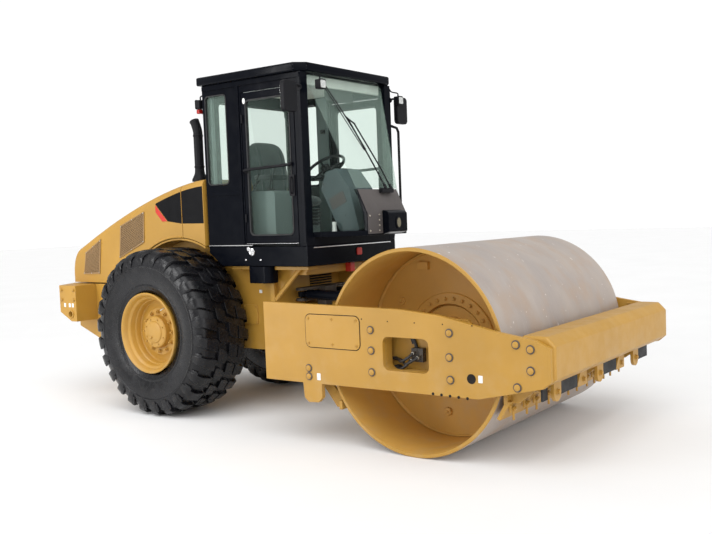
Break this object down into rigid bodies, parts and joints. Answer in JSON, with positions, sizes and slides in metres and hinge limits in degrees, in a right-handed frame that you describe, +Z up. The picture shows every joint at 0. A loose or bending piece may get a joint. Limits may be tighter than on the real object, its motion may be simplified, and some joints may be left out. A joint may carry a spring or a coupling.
{
  "type": "single drum road roller",
  "caption": "Articulated road roller with a smooth steel drum in front, a glazed cab, a rear engine hood and two wide tyres.",
  "frame": {"origin": "on the ground under the middle of the machine", "axes": "+Z up, -Y forward towards the drum, +X to the machine's left"},
  "size_m": [2.3, 5.8, 3.07],
  "materials": {
    "yellow_paint": "satin yellow enamel",
    "black_paint": "gloss black enamel",
    "worn_steel": "rolled bare steel, worn grey",
    "cast_iron": "dark cast iron",
    "chrome": "hard chrome",
    "tyre_rubber": "black tyre rubber",
    "tinted_glass": "light green tint",
    "cab_trim": "grey-green moulded trim",
    "seat_cover": "dark grey-green seat cover"
  },
  "bodies": {
    "root": {"rear_frame": "yellow_paint", "rear_axle": "yellow_paint", "counterweight": "yellow_paint", "wheel_well_left": "yellow_paint", "wheel_well_right": "yellow_paint", "engine_cowl": "yellow_paint", "engine_block": "cast_iron", "exhaust_stack": "black_paint", "cab_floor": "black_paint", "cab_nose": "black_paint", "cab_roof": "black_paint", "cab_post_left": "black_paint", "cab_post_right": "black_paint", "cab_side_left": "black_paint", "cab_side_right": "black_paint", "cab_rear_wall": "black_paint", "mirror_left": "black_paint", "mirror_right": "black_paint", "grab_handle": "black_paint", "step_ladder": "black_paint", "windscreen": "tinted_glass", "side_glass_left": "tinted_glass", "side_glass_right": "tinted_glass", "rear_glass": "tinted_glass", "seat_base": "cab_trim", "dash_console": "cab_trim", "seat_cushion": "seat_cover", "seat_back": "seat_cover"},
    "front_frame": {"front_plate_left": "yellow_paint", "front_plate_right": "yellow_paint", "front_bumper": "yellow_paint", "rear_crossmember": "yellow_paint", "scraper_front": "yellow_paint", "scraper_rear": "yellow_paint", "drum_mount_left": "yellow_paint", "drum_mount_right": "yellow_paint"},
    "drum": {"drum_shell": "worn_steel", "drum_heads": "yellow_paint"},
    "hitch": {"hitch_yoke": "cast_iron"},
    "wheel_left": {"tyre_left": "tyre_rubber", "rim_left": "yellow_paint"},
    "wheel_right": {"tyre_right": "tyre_rubber", "rim_right": "yellow_paint"},
    "hood": {"hood": "yellow_paint"},
    "door_left": {"door_left": "black_paint", "door_glass_left": "tinted_glass"},
    "door_right": {"door_right": "black_paint", "door_glass_right": "tinted_glass"},
    "steering_wheel": {"steering_wheel": "black_paint"},
    "ram_barrel_left": {"steering_barrel_left": "black_paint"},
    "ram_barrel_right": {"steering_barrel_right": "black_paint"},
    "ram_rod_left": {"steering_rod_left": "chrome"},
    "ram_rod_right": {"steering_rod_right": "chrome"}
  },
  "joints": [
    {"name": "oscillation", "type": "hinge", "parent": "root", "child": "hitch", "pos_m": [0, -0.02, 0.8], "axis": [0, 1, 0], "range_deg": [-15, 15]},
    {"name": "articulation", "type": "hinge", "parent": "hitch", "child": "front_frame", "pos_m": [0, -0.29, 0.8], "axis": [0, 0, 1], "range_deg": [-34, 34]},
    {"name": "drum_roll", "type": "hinge", "parent": "front_frame", "child": "drum", "pos_m": [0, -1.74, 0.767], "axis": [1, 0, 0], "continuous": true},
    {"name": "hood_tilt", "type": "hinge", "parent": "root", "child": "hood", "pos_m": [0, 1.087, 2.136], "axis": [1, 0, 0], "range_deg": [0, 55]},
    {"name": "wheel_left_spin", "type": "hinge", "parent": "root", "child": "wheel_left", "pos_m": [0.7985, 1.16, 0.77], "axis": [1, 0, 0], "continuous": true},
    {"name": "door_left_swing", "type": "hinge", "parent": "root", "child": "door_left", "pos_m": [0.65, 0.277, 2.22], "axis": [0, 0, 1], "range_deg": [0, 95]},
    {"name": "ram_left_swing", "type": "hinge", "parent": "hitch", "child": "ram_barrel_left", "pos_m": [0.27, -0.02, 1.08], "axis": [0, 0, 1], "range_deg": [-25, 25]},
    {"name": "ram_left_stroke", "type": "slide", "parent": "ram_barrel_left", "child": "ram_rod_left", "axis": [0.0648, -0.9979, 0], "range_m": [-0.18, 0.18]},
    {"name": "wheel_right_spin", "type": "hinge", "parent": "root", "child": "wheel_right", "pos_m": [-0.7985, 1.16, 0.77], "axis": [1, 0, 0], "continuous": true},
    {"name": "door_right_swing", "type": "hinge", "parent": "root", "child": "door_right", "pos_m": [-0.65, 0.277, 2.22], "axis": [0, 0, -1], "range_deg": [0, 95]},
    {"name": "ram_right_swing", "type": "hinge", "parent": "hitch", "child": "ram_barrel_right", "pos_m": [-0.27, -0.02, 1.08], "axis": [0, 0, 1], "range_deg": [-25, 25]},
    {"name": "ram_right_stroke", "type": "slide", "parent": "ram_barrel_right", "child": "ram_rod_right", "axis": [-0.0648, -0.9979, 0], "range_m": [-0.18, 0.18]},
    {"name": "steering_wheel_turn", "type": "hinge", "parent": "root", "child": "steering_wheel", "pos_m": [0, -0.13, 2.22], "axis": [0, 0.5299, 0.848], "continuous": true}
  ],
  "couplings": [
    {"joint": "ram_left_swing", "follows": "articulation", "ratio": 0.688},
    {"joint": "ram_left_stroke", "follows": "articulation", "m_per_rad": -0.2815},
    {"joint": "ram_right_swing", "follows": "articulation", "ratio": 0.688},
    {"joint": "ram_right_stroke", "follows": "articulation", "m_per_rad": 0.2815}
  ]
}
